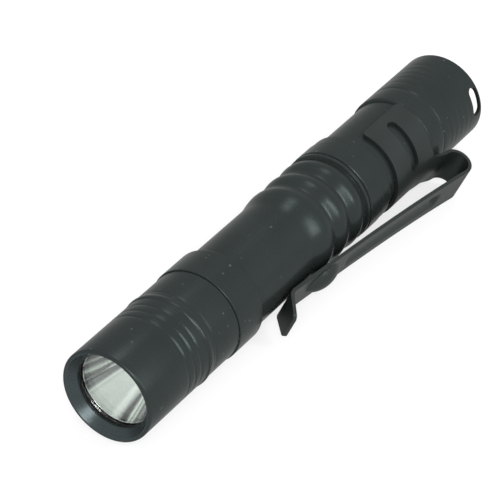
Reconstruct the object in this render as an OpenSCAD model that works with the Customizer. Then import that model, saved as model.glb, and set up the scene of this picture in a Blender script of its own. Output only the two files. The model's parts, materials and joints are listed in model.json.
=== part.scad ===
// Penlight for one slim cell: head with light engine, ridged tube, tail with push switch and pocket clip.
// The light lies along +X with its tail face at x = 0, so the beam points along +X and +Z is up.
// Every turned piece is drawn along its own axis, from the tail upwards, and then laid down.

/* [Cell] */
// Radius of the cell over its wrapper
cell_r = 5.25; // [5.0:0.05:5.5]
// Length of the cell, from its end plate to the top of its nub
cell_len = 44.5; // [43:0.5:47]
// Radius of the nub
nub_r = 1.9; // [1.5:0.1:2.4]
// Height of the nub
nub_h = 0.9; // [0.6:0.1:1.4]
// Wall of the can
can_wall = 0.3; // [0.2:0.05:0.5]
// Thickness of the plastic wrapper
wrap_t = 0.1; // [0.06:0.02:0.2]
// Thickness of the negative end plate
plate_t = 0.4; // [0.3:0.1:0.7]
// Height of the plastic seal under the end plate
seal_h = 1.6; // [1:0.1:2.4]

/* [Tube] */
// Radius of the smooth part of the tube
tube_r = 6.95; // [6.8:0.05:7.1]
// Gap round the cell in its bay
cell_gap = 0.2; // [0.1:0.05:0.3]
// How far the cell reaches into the head
cell_in_head = 5.3; // [4.6:0.1:5.6]
// How far the cell reaches into the tail
cell_in_tail = 3.2; // [2:0.1:4]
// Radius of the collar beside the head
collar_r = 7.6; // [7.3:0.05:7.7]
// Length of the collar
collar_len = 6; // [4:0.5:8]
// Rounding of the collar's rear edge
collar_round = 0.4; // [0.2:0.1:0.6]
// Number of turned ridges
ridge_count = 3; // [1:1:4]
// Length of one ridge
ridge_pitch = 4.2; // [3.4:0.1:5]
// Length of the last ridge as a share of the others
last_ridge_share = 1.14; // [1:0.01:1.2]
// Height of the ridges over the smooth tube
ridge_h = 0.5; // [0.2:0.05:0.55]
// Length of the land between the ridges and the tail
land_len = 1; // [0.6:0.1:1.6]

/* [Screw joints] */
// Length of each threaded spigot
spigot_len = 5.4; // [4.8:0.1:6]
// Crest radius of the spigot's thread
thread_r = 6.2; // [6.1:0.05:6.3]
// Depth of the thread
thread_depth = 0.2; // [0.1:0.05:0.3]
// Pitch of the thread
thread_pitch = 1; // [0.6:0.1:1.2]
// Number of thread turns on each spigot
thread_turns = 3; // [2:1:3]
// Gap between male and female crests
thread_gap = 0.06; // [0.03:0.01:0.1]
// Width of the groove for the sealing ring
ring_w = 1; // [0.7:0.1:1.2]
// Depth of the groove for the sealing ring
ring_depth = 0.4; // [0.3:0.05:0.5]
// Distance from the seam to the groove for the sealing ring
ring_from_seam = 0.5; // [0.3:0.1:0.8]

/* [Head] */
// Length of the head
head_len = 22; // [21:0.5:25]
// Radius of the head
head_r = 7.4; // [7.2:0.05:7.7]
// Rounding of the front rim
rim_round = 0.4; // [0.2:0.1:0.8]
// Depth of the dished front
dish_depth = 1.45; // [1:0.05:2]
// Radius of the front window
window_r = 5.8; // [5.2:0.1:6]
// Thickness of the lip that holds the lens
lip_t = 0.35; // [0.25:0.05:0.6]
// Number of fine grooves round the head
groove_count = 3; // [1:1:4]
// Distance from the front to the first fine groove
groove_from_front = 9.4; // [7:0.1:10]
// Distance between fine grooves
groove_pitch = 1.55; // [1.2:0.05:1.7]
// Width of a fine groove
groove_w = 0.6; // [0.3:0.05:0.7]
// Depth of a fine groove
groove_depth = 0.1; // [0.06:0.02:0.2]
// Distance from the front to the raised bead
bead_from_front = 14.05; // [13.2:0.05:15]
// Width of the raised bead
bead_w = 1.7; // [1:0.1:2]
// Height of the raised bead over the head
bead_h = 0.15; // [0.1:0.05:0.3]

/* [Light engine] */
// Thickness of the lens
lens_t = 1; // [0.8:0.1:1.6]
// Thickness of the seal in front of the lens
lens_seal_t = 0.4; // [0.3:0.1:0.8]
// Depth of the reflector
reflector_len = 7.5; // [6.5:0.1:8]
// Front rim of the reflector, from its mouth to its outside
reflector_rim = 0.5; // [0.3:0.05:0.7]
// Radius of the hole at the back of the reflector
reflector_hole_r = 2.6; // [2.55:0.05:3]
// Thickness of the reflector's wall at its back
reflector_wall = 0.8; // [0.5:0.1:1.2]
// Width of the square diode package
led_w = 3.45; // [3:0.05:3.5]
// Height of the diode package
led_h = 0.9; // [0.7:0.05:1.2]
// Radius of the diode's dome
led_dome_r = 1.3; // [1:0.05:1.5]
// Thickness of the ring that centres the diode
led_ring_t = 0.5; // [0.3:0.1:0.7]
// Thickness of the star board
star_t = 1; // [0.8:0.1:1.4]
// Thickness of the shelf of the brass pill
pill_shelf = 1.2; // [0.8:0.1:1.5]
// Wall of the brass pill
pill_wall = 0.8; // [0.5:0.1:1]
// Thickness of the driver board
driver_t = 0.8; // [0.6:0.1:1]
// Radius of the driver's contact button
driver_button_r = 1.6; // [1.2:0.1:2]

/* [Tail] */
// Length of the tail
tail_len = 34; // [32:0.5:37]
// Radius of the tail barrel
tail_r = 7.35; // [7.2:0.05:7.6]
// Length of the tail barrel
barrel_len = 15.8; // [15.2:0.1:16.4]
// Length of the neck that holds the clip
neck_len = 12.5; // [12:0.1:13]
// Radius of the neck
neck_r = 6.95; // [6.8:0.05:7.05]
// Radius of the land in front of the neck
tail_land_r = 7.5; // [7.3:0.05:7.6]
// Length of the lower step at the rear of that land
land_step_len = 2; // [1:0.1:2.6]
// Height of that step
land_step = 0.1; // [0.05:0.01:0.15]
// Rounding of the barrel's edges
barrel_round = 0.2; // [0.1:0.05:0.3]
// Distance from the tail face to the groove on the barrel
barrel_groove = 11.85; // [11:0.05:12.4]
// Radius of the cup at the tail
cup_r = 6.8; // [6.4:0.05:6.85]
// Depth of the cup
cup_depth = 5.6; // [5.2:0.1:6]
// Thickness of the web that holds the rubber boot
web_t = 2; // [1.6:0.1:2.4]
// Radius of the switch bay
bay_r = 5.7; // [5.5:0.05:5.75]
// Width of the lanyard slot along the light
lanyard_w = 2.05; // [1.4:0.05:2.4]
// Angle that the lanyard slot takes round the cup
lanyard_sweep = 38; // [24:1:50]
// Width of the bar that the lanyard loops round
lanyard_bar = 0.45; // [0.4:0.05:1.2]
// Angle of the lanyard slot above the horizontal, on the clip's side
lanyard_turn = 22; // [0:1:40]

/* [Switch] */
// Radius of the rubber boot where it passes the web
boot_r = 4.5; // [4.2:0.05:4.6]
// Gap round the boot in the web
boot_gap = 0.25; // [0.15:0.05:0.3]
// Distance from the tail face to the top of the boot
boot_inset = 1; // [0.6:0.1:1.6]
// Wall of the rubber boot
boot_wall = 0.9; // [0.6:0.1:1.2]
// Height of the crowned top of the boot
boot_crown = 1.4; // [0.8:0.1:1.8]
// Thickness of the boot's flange
flange_t = 1; // [0.7:0.1:1.2]
// Thickness of the washer on the flange
washer_t = 0.6; // [0.4:0.1:0.8]
// Stroke of the switch
stroke = 1.6; // [1:0.1:1.8]
// Width of the square switch body
switch_w = 7.6; // [7:0.1:7.7]
// Height of the switch body
switch_h = 9.4; // [9:0.1:10]
// Wall of the switch body
switch_wall = 1; // [0.8:0.1:1.2]
// Radius of the plunger
plunger_r = 1.85; // [1.5:0.05:2]
// Gap round the plunger in its guide
plunger_gap = 0.06; // [0.03:0.01:0.1]
// Thickness of the switch board
board_t = 1.2; // [0.8:0.1:1.4]
// Height of the ring that holds the switch board
retainer_h = 2; // [1.4:0.1:2.4]
// Hole in the retaining ring
retainer_hole_r = 4.2; // [4.1:0.1:4.6]
// Radius of the wire of the contact spring
spring_wire_r = 0.35; // [0.25:0.05:0.4]
// Radius of the contact spring at the board
spring_r = 3.4; // [3:0.1:3.6]
// Radius of the contact spring at the cell
spring_top_r = 2.3; // [2:0.1:2.8]
// Number of curls of the contact spring
spring_curls = 5; // [3:1:6]

/* [Clip] */
// Angle of the clip below the horizontal
clip_turn = 20; // [0:1:45]
// Thickness of the clip's sheet
sheet_t = 0.55; // [0.45:0.05:0.6]
// Gap between the neck and the clip's band
band_gap = 0.05; // [0.02:0.01:0.1]
// Length of the band along the neck
band_len = 10.3; // [8.5:0.1:10.5]
// Gap between the band and the tail barrel
band_end_gap = 0.2; // [0.1:0.05:0.4]
// Angle from the clip's middle to each free end of the band
band_reach = 108; // [100:1:125]
// Width of the long window between the fingers of the band
band_slot_w = 2.2; // [1.2:0.1:2.4]
// Angle from the clip's middle to the start of that window
band_slot_from = 34; // [32:1:40]
// Angle from the clip's middle to the end of that window
band_slot_to = 87; // [70:1:90]
// Width of the clip's strip
strip_w = 6.4; // [5.4:0.1:6.6]
// Middle radius of the bend
bend_r = 2.25; // [1.9:0.05:2.5]
// How far the foot of the leg lies over the band
leg_root = 3.7; // [3:0.1:4.5]
// Rise of the leg from its foot to the bend
leg_lift = 0.58; // [0.55:0.01:0.7]
// Slope of the leg
leg_slope = 5; // [4.5:0.1:5.5]
// Length of the arm along the light, from the bend to the fold
arm_len = 43.7; // [38:0.1:46]
// Slope of the arm beside the bend
arm_slope = 9.1; // [8:0.1:10]
// Gap between the fold of the arm and the tube
arm_gap = 0.3; // [0.15:0.05:0.5]
// Length of the turned-up flap
flap_len = 4.5; // [3:0.1:5]
// Slope of the flap
flap_slope = 45; // [30:1:50]
// Half width of the strip at the fold
fold_half = 2.95; // [2.6:0.05:3.2]
// Half width of the flap at its end
flap_end = 2.4; // [2:0.1:2.8]
// Rounding of the corners of the flap
flap_round = 0.7; // [0.4:0.1:1]
// Width of the pressed groove along the arm
press_w = 3.2; // [1.6:0.1:4]
// Depth of the pressed groove
press_depth = 0.25; // [0.1:0.05:0.3]
// Length of the pressed bump
bump_len = 7; // [5:0.2:7.6]
// Width of the pressed bump
bump_w = 4.2; // [3:0.1:4.8]
// Height of the pressed bump
bump_h = 1.3; // [0.8:0.05:1.4]
// Angle of the open gap at the bend, taken up when the arm springs out
flex_gap = 9; // [8:1:12]

/* [Hidden] */
$fn = 96;
// Overrun of every cut past the face that it goes through
over = 0.4;
// Gap round pieces that drop into a bore
drop_gap = 0.05;
// Radius of the round ends of a slot, as a share of half its width
slot_end_share = 1.04;
// Small bevel on turned edges
bevel = 0.15;

// Places along the light, from the tail face
tube_len = cell_len - cell_in_head - cell_in_tail;
seam_tail = tail_len;
seam_head = seam_tail + tube_len;
front = seam_head + head_len;
cell_base = seam_tail - cell_in_tail;
cell_top = cell_base + cell_len;

// Bores and the threads
cell_bore_r = cell_r + cell_gap;
female_r = thread_r + thread_gap;
relief_r = female_r + drop_gap;
ring_root_r = thread_r - ring_depth;
ring_seat_len = ring_from_seam + ring_w + ring_from_seam;
thread_len = thread_turns * thread_pitch;
ridge_r = tube_r + ridge_h;

// Places in the head, from the front back
lens_seat = front - dish_depth - lip_t;
lens_front = lens_seat - lens_seal_t;
lens_back = lens_front - lens_t;
reflector_back = lens_back - reflector_len;
star_front = reflector_back - led_ring_t;
star_back = star_front - star_t;
engine_bore_r = relief_r;
engine_r = engine_bore_r - drop_gap;
reflector_mouth_r = engine_r - reflector_rim;
pill_gap = 0.3;
pill_back = seam_head + spigot_len + pill_gap;
pill_bay_r = engine_r - pill_wall;
pill_bay_top = star_back - pill_shelf;
driver_r = pill_bay_r - drop_gap;
driver_front = pill_back + driver_t;
wire_r = 0.35;
wire_hole_r = wire_r + wire_r / 2;
wire_out = pill_bay_r - 2 * wire_hole_r;
chip_shares = [[0, 0.3, 0.62, 0.34], [0.45, -0.3, 0.3, 0.4], [-0.45, -0.3, 0.4, 0.3]];
chip_h = (pill_bay_top - driver_front) / 2;
dish_r = head_r - rim_round - bevel;
parabola_steps = 10;
reflector_bevel = reflector_rim / 2;
led_base_share = 0.7;

// Places in the tail, from the tail face
neck_rear = barrel_len;
neck_front = barrel_len + neck_len;
web_top = cup_depth + web_t;
flange_top = web_top + flange_t;
washer_top = flange_top + washer_t;
switch_top = washer_top + switch_h;
board_top = switch_top + board_t;
piece_r = bay_r - drop_gap;
boot_hole_r = boot_r + boot_gap;
flange_in_r = boot_r + boot_gap / 2;
skirt_end = web_top - boot_wall;
boot_in_r = boot_r - boot_wall;
plunger_end = skirt_end - stroke / 4;
boot_nub_r = plunger_r;
guide_r = plunger_r + plunger_gap;
plunger_collar_t = switch_wall;
plunger_collar_r = switch_w / 2 - switch_wall - drop_gap;
plunger_collar_base = washer_top + switch_wall + drop_gap;
stem_r = plunger_r / 2;
stem_end = switch_top - switch_wall - stroke - drop_gap;
lanyard_far = lanyard_bar + lanyard_w;
retainer_notch = retainer_h / 2;
barrel_fine_shares = [0.231, 0.326, 0.421, 0.519, 0.617];

// Springs: rings of points round a helix, with the wire's sides
wire_sides = 6;
rings_per_curl = 8;
coil_seat = 0.05;
return_curls = 4;
return_wire_r = stem_r / 4;
return_r = stem_r + 2 * return_wire_r;
return_base = plunger_collar_base + plunger_collar_t + coil_seat;
return_top = stem_end;

// The clip's profile: distance from the axis, place along the light
band_in_r = neck_r + band_gap;
band_r = band_in_r + sheet_t;
band_rear = neck_rear + band_end_gap;
band_slot_mid = band_rear + band_len / 2;
foot_lift = 0.05;
root_lift = 0.12;
leg_foot = [band_in_r + sheet_t / 2 + foot_lift, band_rear + leg_root];
leg_top = leg_foot + leg_lift * [1, -1 / tan(leg_slope)];
bend_mid = leg_top + bend_r * [cos(leg_slope), sin(leg_slope)];
bend_split = 270;
bend_steps = 8;
arm_root = bend_mid + bend_r * [cos(arm_slope), sin(arm_slope)];
fold = [tube_r + arm_gap + sheet_t / 2, bend_mid.y + arm_len];
tip = fold + flap_len * [sin(flap_slope), cos(flap_slope)];
// The arm bows from the slope beside the bend towards the fold
bow_share = 0.35;
bow = arm_root + bow_share * (fold.y - arm_root.y) * [-tan(arm_slope), 1];
arm_steps = 8;
// Stretch of the arm that is pressed in, and the place of the bump, as shares of the arm
press_shares = [0.19, 0.7];
press_steps = 6;
bump_share = 0.835;
bump_arc_r = (pow(bump_len / 2, 2) + pow(bump_h, 2)) / (2 * bump_h);
bump_side_r = (pow(bump_len / 2, 2) + pow(bump_w / 2, 2)) / bump_w;

// Lays a piece that was drawn upwards from the tail along +X
module lay() {
    rotate([0, 90, 0]) children();
}

// Turns a closed outline of [radius, place] points round the light's axis
module turned(outline) {
    lay() rotate_extrude() polygon(outline);
}

// A plain ring or disc between two places
module ring(r_out, r_in, from, to) {
    lay() translate([0, 0, from]) difference() {
        cylinder(r = r_out, h = to - from);
        if (r_in > 0) translate([0, 0, -over]) cylinder(r = r_in, h = to - from + 2 * over);
    }
}

// Points of a V groove in a turned face, met while going up
function groove_up(r, at) = [[r, at - groove_w / 2], [r - groove_depth, at], [r, at + groove_w / 2]];

// Points of a thread on a spigot or in a bore, met while going up
function thread_up(r, depth, from) = [for (i = [0:thread_turns - 1], p = [
        [r, from + i * thread_pitch],
        [r + depth, from + (i + 1 / 2) * thread_pitch]
    ]) p];

// The same list of points, met while going down
function reversed(points) = [for (i = [len(points) - 1:-1:0]) points[i]];

// Points of a quarter round edge, from one angle to another
function arc(mid, r, from, to, steps = 5) = [for (i = [0:steps])
    mid + r * [cos(from + (to - from) * i / steps), sin(from + (to - from) * i / steps)]];

// Points of a rounded ridge on a turned face, met while going up
function ridge_up(r, from, length, height) = let (
        arc_r = (pow(length / 2, 2) + pow(height, 2)) / (2 * height),
        half = asin(length / 2 / arc_r)
    ) arc([r + height - arc_r, from + length / 2], arc_r, -half, half, 6);

// Outline points of a strip of sheet that follows a line of points, one side and then back along the other
function normal_at(p, i) = let (
        a = i == 0 ? p[1] - p[0] : p[i] - p[i - 1],
        b = i == len(p) - 1 ? a : p[i + 1] - p[i],
        ua = a / norm(a),
        ub = b / norm(b),
        m = (ua + ub) / norm(ua + ub)
    ) [m.y, -m.x] / (m * ua);
function strip_outline(p, t) = concat(
    [for (i = [0:len(p) - 1]) p[i] + normal_at(p, i) * t / 2],
    [for (i = [len(p) - 1:-1:0]) p[i] - normal_at(p, i) * t / 2]);

// A wedge round the axis, for cutting rings open
module wedge(from, to, r, base, top) {
    steps = 8;
    rim = r / cos((to - from) / steps / 2);
    translate([0, 0, base]) linear_extrude(top - base)
        polygon(concat([[0, 0]], [for (i = [0:steps]) let (a = from + (to - from) * i / steps) rim * [cos(a), sin(a)]]));
}

// A coil of round wire as one unbroken tube, with its ends level
function coil_point(r0, r1, base, top, curls, u) = let (a = 360 * curls * u, r = r0 + (r1 - r0) * u)
    [r * cos(a), r * sin(a), base + (top - base) * u];
module coil(r0, r1, base, top, curls, wire) {
    rings = curls * rings_per_curl;
    points = [for (i = [0:rings], j = [0:wire_sides - 1]) let (
            u = i / rings,
            a = 360 * curls * u,
            b = 360 * j / wire_sides,
            c = coil_point(r0, r1, base, top, curls, u)
        ) c + wire * [cos(a) * cos(b), sin(a) * cos(b), sin(b)]];
    sides = [for (i = [0:rings - 1], j = [0:wire_sides - 1]) let (
            k = (j + 1) % wire_sides,
            p = i * wire_sides,
            q = p + wire_sides
        ) each [[p + j, p + k, q + k], [p + j, q + k, q + j]]];
    start = [for (j = [1:wire_sides - 2]) [0, j + 1, j]];
    last = rings * wire_sides;
    end = [for (j = [1:wire_sides - 2]) [last, last + j, last + j + 1]];
    lay() polyhedron(points, concat(sides, start, end), convexity = 2 * curls);
}

// The least gap between neighbouring curls, measured on points of the wire's middle
function coil_gap(r0, r1, base, top, curls, wire) = let (rings = curls * rings_per_curl)
    min([for (i = [0:rings - rings_per_curl])
        norm(coil_point(r0, r1, base, top, curls, (i + rings_per_curl) / rings)
            - coil_point(r0, r1, base, top, curls, i / rings))]) - 2 * wire;

// Head: shell with dished front, fine grooves and bead, bored from behind
module head_shell() {
    first = front - groove_from_front;
    bead_top = front - bead_from_front;
    bead_base = bead_top - bead_w;
    outside = concat(
        [[head_r - bevel, seam_head], [head_r, seam_head + bevel]],
        groove_up(head_r, bead_base - groove_w / 2),
        ridge_up(head_r, bead_base, bead_w, bead_h),
        [for (i = [groove_count - 1:-1:0], p = groove_up(head_r, first - i * groove_pitch)) p],
        arc([head_r - rim_round, front - rim_round], rim_round, 0, 90));
    inside = concat(
        [[dish_r, front], [window_r, front - dish_depth], [window_r, lens_seat], [engine_bore_r, lens_seat]],
        [[engine_bore_r, seam_head + ring_seat_len + thread_len]],
        reversed(thread_up(female_r, thread_depth, seam_head + ring_seat_len)),
        [[relief_r, seam_head + ring_seat_len], [relief_r, seam_head]]);
    color("#2c3230") turned(concat(outside, inside));
}

module lens_seal() {
    color("#1b1b1b") ring(engine_r, window_r, lens_front, lens_seat);
}

module lens() {
    color("#cfe0e6", 0.4) ring(engine_r, 0, lens_back, lens_front);
}

// Reflector: bright bowl whose inside follows a parabola
module reflector() {
    depth = reflector_len;
    bowl = [for (i = [0:parabola_steps]) let (u = i / parabola_steps)
        [sqrt(pow(reflector_hole_r, 2) + (pow(reflector_mouth_r, 2) - pow(reflector_hole_r, 2)) * (1 - u)),
            lens_back - depth * u]];
    outside = [[reflector_hole_r + reflector_wall, reflector_back], [engine_r, lens_back - depth / 2],
        [engine_r, lens_back - reflector_bevel], [engine_r - reflector_bevel, lens_back]];
    color("#d8dcde") turned(concat(outside, bowl));
}

module led_ring() {
    hole = led_w + 2 * drop_gap;
    color("#e8e6dc") lay() difference() {
        translate([0, 0, star_front]) cylinder(r = reflector_hole_r + reflector_wall, h = led_ring_t);
        translate([-hole / 2, -hole / 2, star_front - over]) cube([hole, hole, led_ring_t + 2 * over]);
    }
}

module led_package() {
    base_h = led_base_share * led_h;
    color("#f1efe6") lay() translate([0, 0, star_front]) {
        translate([-led_w / 2, -led_w / 2, 0]) cube([led_w, led_w, base_h]);
        cylinder(r = led_dome_r + bevel, h = led_h);
    }
}

module led_dome() {
    color("#f4e27a") lay() translate([0, 0, star_front + led_h]) difference() {
        sphere(r = led_dome_r);
        translate([0, 0, -2 * led_dome_r]) cylinder(r = 2 * led_dome_r, h = 2 * led_dome_r);
    }
}

module star_board() {
    color("#e4e4e0") ring(engine_r - drop_gap, 0, star_back, star_front);
}

// Brass pill: cup with a shelf for the star board, open to the cell
module pill() {
    color("#b58a3c") difference() {
        turned([[pill_bay_r, pill_back], [engine_r, pill_back], [engine_r, star_back], [0, star_back],
            [0, pill_bay_top], [pill_bay_r, pill_bay_top]]);
        for (side = [-1, 1]) lay() translate([0, side * wire_out, pill_bay_top - over])
            cylinder(r = wire_hole_r, h = pill_shelf + 2 * over);
    }
}

module lead_wires() {
    color("#b23a2e") for (side = [-1, 1]) lay() translate([0, side * wire_out, driver_front])
        cylinder(r = wire_r, h = star_back - driver_front);
}

module driver_board() {
    color("#2f6b3c") ring(driver_r, 0, pill_back, driver_front);
}

module driver_parts() {
    color("#2a2a2c") for (c = chip_shares) {
        size = [c[2] * driver_r, c[3] * driver_r];
        lay() translate([c[0] * driver_r - size.x / 2, c[1] * driver_r - size.y / 2, driver_front])
            cube([size.x, size.y, chip_h]);
    }
}

module driver_contact() {
    color("#caa24a") ring(driver_button_r, 0, cell_top + drop_gap, pill_back);
}

// Tube: collar, smooth run and ridges outside, cell bay inside, a threaded spigot at each end
module body_tube() {
    ridge_base = seam_tail + land_len;
    ridges = [for (i = [0:ridge_count - 1], p = ridge_up(tube_r, ridge_base + i * ridge_pitch,
        ridge_pitch * (i < ridge_count - 1 ? 1 : last_ridge_share), ridge_h)) p];
    rear_spigot = concat(
        [[cell_bore_r, seam_tail - spigot_len], [thread_r - thread_depth, seam_tail - spigot_len]],
        thread_up(thread_r - thread_depth, thread_depth, seam_tail - spigot_len + bevel),
        [[thread_r - thread_depth, seam_tail - spigot_len + bevel + thread_len]],
        [[thread_r, seam_tail - spigot_len + 2 * bevel + thread_len]],
        [[thread_r, seam_tail - ring_from_seam - ring_w], [ring_root_r, seam_tail - ring_from_seam - ring_w],
        [ring_root_r, seam_tail - ring_from_seam], [thread_r, seam_tail - ring_from_seam], [thread_r, seam_tail]]);
    front_spigot = [for (p = reversed(rear_spigot)) [p.x, seam_head + seam_tail - p.y]];
    middle = concat(
        [[ridge_r - bevel, seam_tail], [ridge_r, seam_tail + bevel], [ridge_r, seam_tail + land_len / 2]],
        ridges,
        [[tube_r, seam_head - collar_len]],
        arc([collar_r - collar_round, seam_head - collar_len + collar_round], collar_round, -90, 0),
        [[collar_r, seam_head - bevel], [collar_r - bevel, seam_head]]);
    color("#2c3230") turned(concat(rear_spigot, middle, front_spigot));
}

// Sealing ring in a spigot's groove, from the groove's rear edge
module o_ring(from) {
    side = ring_w - 2 * drop_gap;
    out = relief_r - drop_gap / 2;
    base = from + drop_gap;
    root = ring_root_r + drop_gap;
    turned([[root, base], [out - bevel, base], [out, base + bevel], [out, base + side - bevel],
        [out - bevel, base + side], [root, base + side]]);
}

module front_o_ring() {
    color("#161616") o_ring(seam_head + ring_from_seam);
}

module rear_o_ring() {
    color("#161616") o_ring(seam_tail - ring_from_seam - ring_w);
}

// Cell: steel can with its nub, open at the negative end
module cell_can() {
    out = cell_r - wrap_t;
    shoulder = cell_top - nub_h;
    bore = out - can_wall;
    color("#c9ccd0") turned([[bore, cell_base], [out, cell_base], [out, shoulder], [nub_r, shoulder], [nub_r, cell_top],
        [0, cell_top], [0, shoulder - can_wall], [bore, shoulder - can_wall]]);
}

module cell_wrapper() {
    color("#3b6fa5") ring(cell_r, cell_r - wrap_t, cell_base + plate_t, cell_top - nub_h);
}

module cell_core() {
    color("#4a4a4a") ring(cell_r - wrap_t - can_wall, 0, cell_base + plate_t + seal_h, cell_top - nub_h - can_wall);
}

module cell_seal() {
    color("#9aa0a4") ring(cell_r - wrap_t - can_wall, 0, cell_base + plate_t, cell_base + plate_t + seal_h);
}

module cell_end_plate() {
    color("#d2d5d8") ring(cell_r - wrap_t - can_wall, 0, cell_base, cell_base + plate_t);
}

// Tail: land, clip neck and barrel outside, switch bay and lanyard cup inside
module tail_cap() {
    land_top = seam_tail;
    step_r = tail_land_r - land_step;
    fine = [for (s = barrel_fine_shares, p = groove_up(tail_r, s * barrel_len)) [p.x + groove_depth / 2, p.y]];
    outside = concat(
        arc([tail_r - barrel_round, barrel_round], barrel_round, -90, 0),
        [for (p = fine) [min(p.x, tail_r), p.y]],
        groove_up(tail_r, barrel_groove),
        arc([tail_r - barrel_round, neck_rear - barrel_round], barrel_round, 0, 60),
        [[neck_r, neck_rear], [neck_r, neck_front], [step_r - bevel, neck_front], [step_r, neck_front + bevel],
        [step_r, neck_front + land_step_len], [tail_land_r, neck_front + land_step_len + land_step],
        [tail_land_r, land_top - bevel], [tail_land_r - bevel, land_top]]);
    thread_top = land_top - ring_seat_len;
    inside = concat(
        [[relief_r, land_top], [relief_r, thread_top]],
        reversed(thread_up(female_r, thread_depth, thread_top - thread_len)),
        [[relief_r, thread_top - thread_len], [relief_r, land_top - spigot_len - pill_gap],
        [bay_r, land_top - spigot_len - pill_gap], [bay_r, web_top], [boot_hole_r, web_top], [boot_hole_r, cup_depth],
        [cup_r, cup_depth], [cup_r, bevel], [cup_r + bevel, 0]]);
    color("#2c3230") difference() {
        turned(concat(outside, inside));
        lay() rotate([0, 0, 90 + lanyard_turn]) lanyard_slot();
    }
}

// Lanyard slot through the wall of the cup: two round ends and the stretch between them
module lanyard_slot() {
    end_r = lanyard_w / 2;
    end_turn = lanyard_sweep / 2 - asin(end_r / tail_r);
    mid = lanyard_bar + end_r;
    for (side = [-1, 1]) rotate([0, 0, side * end_turn]) translate([0, 0, mid]) rotate([0, 90, 0])
        cylinder(r = slot_end_share * end_r, h = tail_r + over);
    wedge(-end_turn, end_turn, tail_r + over, lanyard_bar, lanyard_far);
}

module boot_flange() {
    color("#1d1f1f") ring(piece_r, flange_in_r, web_top, flange_top);
}

// Rubber boot: crowned cap with a nub that meets the plunger
module switch_boot() {
    crown_r = (pow(boot_r, 2) + pow(boot_crown, 2)) / (2 * boot_crown);
    half = asin(boot_r / crown_r);
    crown = arc([0, boot_inset + crown_r], crown_r, -90, -90 + half, 6);
    roof = boot_inset + boot_crown + boot_wall;
    color("#1d1f1f") turned(concat(crown, [[boot_r, skirt_end], [boot_in_r, skirt_end], [boot_in_r, roof],
        [boot_nub_r, roof], [boot_nub_r, plunger_end], [0, plunger_end]]));
}

module boot_washer() {
    color("#8a8f92") ring(piece_r, boot_hole_r, flange_top, washer_top);
}

// Plunger: rod through the guide, collar that stops it, stem inside the return spring
module switch_plunger() {
    collar_top = plunger_collar_base + plunger_collar_t;
    color("#d9d4c6") turned([[0, plunger_end], [plunger_r, plunger_end], [plunger_r, plunger_collar_base],
        [plunger_collar_r, plunger_collar_base], [plunger_collar_r, collar_top], [stem_r, collar_top], [stem_r, stem_end],
        [0, stem_end]]);
}

module switch_spring() {
    color("#c3c7ca") coil(return_r, return_r, return_base + return_wire_r, return_top - return_wire_r, return_curls,
        return_wire_r);
}

// Switch body: square box round a bored bay, with the plunger's guide in its end
module switch_housing() {
    bay_from = washer_top + switch_wall;
    bay_to = switch_top - switch_wall;
    color("#222426") lay() difference() {
        translate([-switch_w / 2, -switch_w / 2, washer_top]) cube([switch_w, switch_w, switch_h]);
        translate([0, 0, bay_from]) cylinder(r = plunger_collar_r + drop_gap, h = bay_to - bay_from);
        translate([0, 0, washer_top - over]) cylinder(r = guide_r, h = switch_wall + 2 * over);
    }
}

module switch_board() {
    color("#2f6b3c") ring(piece_r, 0, switch_top, board_top);
}

// Retaining ring with two notches for a pin spanner
module retaining_ring() {
    color("#b58a3c") difference() {
        ring(piece_r, retainer_hole_r, board_top, board_top + retainer_h);
        lay() translate([-piece_r - over, -retainer_notch / 2, board_top + retainer_h - retainer_notch])
            cube([2 * (piece_r + over), retainer_notch, retainer_notch + over]);
    }
}

module contact_spring() {
    base = board_top + coil_seat + spring_wire_r;
    top = cell_base - coil_seat - spring_wire_r;
    color("#c9a24a") coil(spring_r, spring_top_r, base, top, spring_curls, spring_wire_r);
}

// Puts a piece drawn in the clip's own plane where the clip is: x away from the axis, z along the light
module at_clip() {
    lay() rotate([0, 0, 90 - clip_turn]) children();
}

// A strip of sheet, drawn as its side view and given the clip's width
module strip(outline, width) {
    rotate([90, 0, 0]) linear_extrude(width, center = true) polygon(outline);
}

// A point of the bowed arm and its slope there, from the bend at 0 to the fold at 1
function arm_at(u) = pow(1 - u, 2) * arm_root + 2 * u * (1 - u) * bow + pow(u, 2) * fold;
function slope_at(u) = let (run = (1 - u) * (bow - arm_root) + u * (fold - bow)) atan(-run.x / run.y);

// Long window between the fingers of the band, with round ends
module band_slot() {
    for (turn = [band_slot_from, band_slot_to]) rotate([0, 0, turn]) translate([0, 0, band_slot_mid])
        rotate([0, 90, 0]) cylinder(r = slot_end_share * band_slot_w / 2, h = band_r + over);
    wedge(band_slot_from, band_slot_to, band_r + over, band_slot_mid - band_slot_w / 2,
        band_slot_mid + band_slot_w / 2);
}

// Clip: open band that snaps on the neck, the leg and the first half of the bend
module clip_band() {
    color("#3a403e") at_clip() {
        difference() {
            union() {
                translate([0, 0, band_rear]) cylinder(r = band_r, h = band_len);
                translate([0, -strip_w / 2, band_rear]) cube([band_r + root_lift, strip_w, band_len]);
            }
            translate([0, 0, band_rear - over]) cylinder(r = band_in_r, h = band_len + 2 * over);
            wedge(band_reach, 360 - band_reach, 2 * band_r, band_rear - over, band_rear + band_len + over);
            band_slot();
            mirror([0, 1, 0]) band_slot();
        }
        strip(strip_outline(concat([leg_foot], arc(bend_mid, bend_r, 180 + leg_slope, bend_split, bend_steps)), sheet_t),
            strip_w);
    }
}

// Outline of the arm seen from outside, along the light and across it
module arm_plan() {
    half = strip_w / 2;
    back = bend_mid.y - bend_r - sheet_t;
    side = concat([[back, half], [fold.y, fold_half]],
        reversed(arc([tip.y - flap_round, flap_end - flap_round], flap_round, 0, 90)));
    polygon(concat(side, [for (p = reversed(side)) [p.x, -p.y]]));
}

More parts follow.
